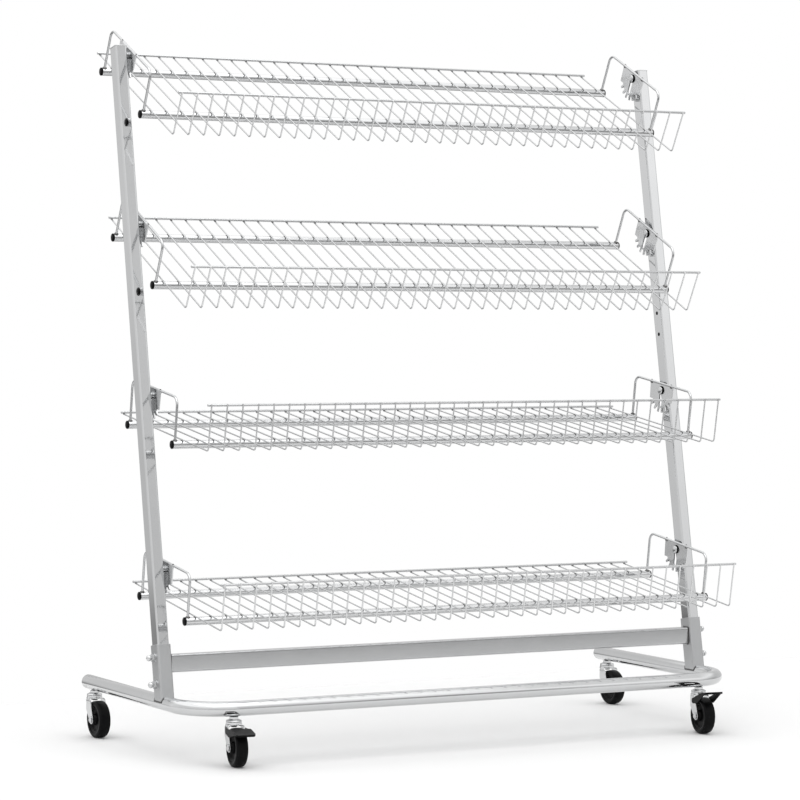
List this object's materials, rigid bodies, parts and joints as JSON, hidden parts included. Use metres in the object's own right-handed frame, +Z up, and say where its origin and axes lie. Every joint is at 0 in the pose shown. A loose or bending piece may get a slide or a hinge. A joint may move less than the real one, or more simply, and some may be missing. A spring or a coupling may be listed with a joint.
{
  "type": "mobile bread rack",
  "caption": "Free-standing wire bread rack on castors: a bent tube base carries leaning posts with hanging wire shelves whose slope is set by finger plates.",
  "frame": {"origin": "on the floor, under the middle of the rack's bounding box", "axes": "+X to the right of someone facing the front, +Y to the back, +Z up"},
  "size_m": [1.2924, 0.6428, 1.4308],
  "materials": {
    "chrome_tube": "bright plated tube and pressed steel",
    "bright_wire": "bright plated wire, slightly duller than the tubes",
    "plated_steel": "satin plated steel",
    "black_rubber": "matt black",
    "black_plastic": "satin black"
  },
  "bodies": {
    "frame": {"base_tube": "chrome_tube", "cross_beam": "chrome_tube", "sleeve_left": "chrome_tube", "post_left": "chrome_tube", "sleeve_bolt_left_lower": "plated_steel", "sleeve_bolt_left_upper": "plated_steel", "sleeve_right": "chrome_tube", "post_right": "chrome_tube", "sleeve_bolt_right_lower": "plated_steel", "sleeve_bolt_right_upper": "plated_steel", "shelf_1_stud_left": "chrome_tube", "shelf_1_stud_right": "chrome_tube", "shelf_2_stud_left": "chrome_tube", "shelf_2_stud_right": "chrome_tube", "shelf_3_stud_left": "chrome_tube", "shelf_3_stud_right": "chrome_tube", "shelf_4_stud_left": "chrome_tube", "shelf_4_stud_right": "chrome_tube", "castor_front_left_stem": "chrome_tube", "castor_front_right_stem": "chrome_tube", "castor_rear_left_stem": "chrome_tube", "castor_rear_right_stem": "chrome_tube"},
    "shelf_1": {"shelf_1_floor_wires": "bright_wire", "shelf_1_lip_wires": "bright_wire", "shelf_1_rear_tube": "chrome_tube", "shelf_1_front_tube": "chrome_tube", "shelf_1_end_left": "plated_steel", "shelf_1_end_right": "plated_steel"},
    "shelf_2": {"shelf_2_floor_wires": "bright_wire", "shelf_2_lip_wires": "bright_wire", "shelf_2_rear_tube": "chrome_tube", "shelf_2_front_tube": "chrome_tube", "shelf_2_end_left": "plated_steel", "shelf_2_end_right": "plated_steel"},
    "shelf_3": {"shelf_3_floor_wires": "bright_wire", "shelf_3_lip_wires": "bright_wire", "shelf_3_rear_tube": "chrome_tube", "shelf_3_front_tube": "chrome_tube", "shelf_3_end_left": "plated_steel", "shelf_3_end_right": "plated_steel"},
    "shelf_4": {"shelf_4_floor_wires": "bright_wire", "shelf_4_lip_wires": "bright_wire", "shelf_4_rear_tube": "chrome_tube", "shelf_4_front_tube": "chrome_tube", "shelf_4_end_left": "plated_steel", "shelf_4_end_right": "plated_steel"},
    "castor_front_left": {"castor_front_left_fork": "chrome_tube", "castor_front_left_axle": "plated_steel"},
    "wheel_front_left": {"castor_front_left_wheel": "black_rubber"},
    "castor_front_right": {"castor_front_right_fork": "chrome_tube", "castor_front_right_axle": "plated_steel"},
    "wheel_front_right": {"castor_front_right_wheel": "black_rubber"},
    "castor_rear_left": {"castor_rear_left_fork": "chrome_tube", "castor_rear_left_axle": "plated_steel"},
    "wheel_rear_left": {"castor_rear_left_wheel": "black_rubber"},
    "castor_rear_right": {"castor_rear_right_fork": "chrome_tube", "castor_rear_right_axle": "plated_steel"},
    "wheel_rear_right": {"castor_rear_right_wheel": "black_rubber"},
    "pedal_left": {"brake_pedal_left": "black_plastic"},
    "pedal_right": {"brake_pedal_right": "black_plastic"}
  },
  "joints": [
    {"name": "shelf_1_tilt", "type": "hinge", "parent": "frame", "child": "shelf_1", "pos_m": [0, -0.05171, 0.36415], "axis": [1, 0, 0], "range_deg": [-18, 18]},
    {"name": "shelf_2_tilt", "type": "hinge", "parent": "frame", "child": "shelf_2", "pos_m": [0, 0.0108, 0.7014], "axis": [1, 0, 0], "range_deg": [-18, 18]},
    {"name": "shelf_3_tilt", "type": "hinge", "parent": "frame", "child": "shelf_3", "pos_m": [0, 0.07331, 1.03866], "axis": [1, 0, 0], "range_deg": [-36, 0]},
    {"name": "shelf_4_tilt", "type": "hinge", "parent": "frame", "child": "shelf_4", "pos_m": [0, 0.13581, 1.37592], "axis": [1, 0, 0], "range_deg": [-36, 0]},
    {"name": "castor_front_left_swivel", "type": "hinge", "parent": "frame", "child": "castor_front_left", "pos_m": [-0.531, -0.23709, 0.08], "axis": [0, 0, 1], "continuous": true},
    {"name": "castor_front_left_roll", "type": "hinge", "parent": "castor_front_left", "child": "wheel_front_left", "pos_m": [-0.53406, -0.25887, 0.0375], "axis": [0.9903, -0.1392, 0], "continuous": true},
    {"name": "castor_front_right_swivel", "type": "hinge", "parent": "frame", "child": "castor_front_right", "pos_m": [0.531, -0.23709, 0.08], "axis": [0, 0, 1], "continuous": true},
    {"name": "castor_front_right_roll", "type": "hinge", "parent": "castor_front_right", "child": "wheel_front_right", "pos_m": [0.52794, -0.25887, 0.0375], "axis": [0.9903, -0.1392, 0], "continuous": true},
    {"name": "castor_rear_left_swivel", "type": "hinge", "parent": "frame", "child": "castor_rear_left", "pos_m": [-0.614, 0.25191, 0.08], "axis": [0, 0, 1], "continuous": true},
    {"name": "castor_rear_left_roll", "type": "hinge", "parent": "castor_rear_left", "child": "wheel_rear_left", "pos_m": [-0.614, 0.22991, 0.0375], "axis": [1, 0, 0], "continuous": true},
    {"name": "castor_rear_right_swivel", "type": "hinge", "parent": "frame", "child": "castor_rear_right", "pos_m": [0.614, 0.25191, 0.08], "axis": [0, 0, 1], "continuous": true},
    {"name": "castor_rear_right_roll", "type": "hinge", "parent": "castor_rear_right", "child": "wheel_rear_right", "pos_m": [0.614, 0.22991, 0.0375], "axis": [1, 0, 0], "continuous": true},
    {"name": "brake_pedal_left_press", "type": "hinge", "parent": "castor_front_left", "child": "pedal_left", "pos_m": [-0.53295, -0.25095, 0.068], "axis": [0.9903, -0.1392, 0], "range_deg": [-20, 0]},
    {"name": "brake_pedal_right_press", "type": "hinge", "parent": "castor_front_right", "child": "pedal_right", "pos_m": [0.52905, -0.25095, 0.068], "axis": [0.9903, -0.1392, 0], "range_deg": [0, 20]}
  ]
}
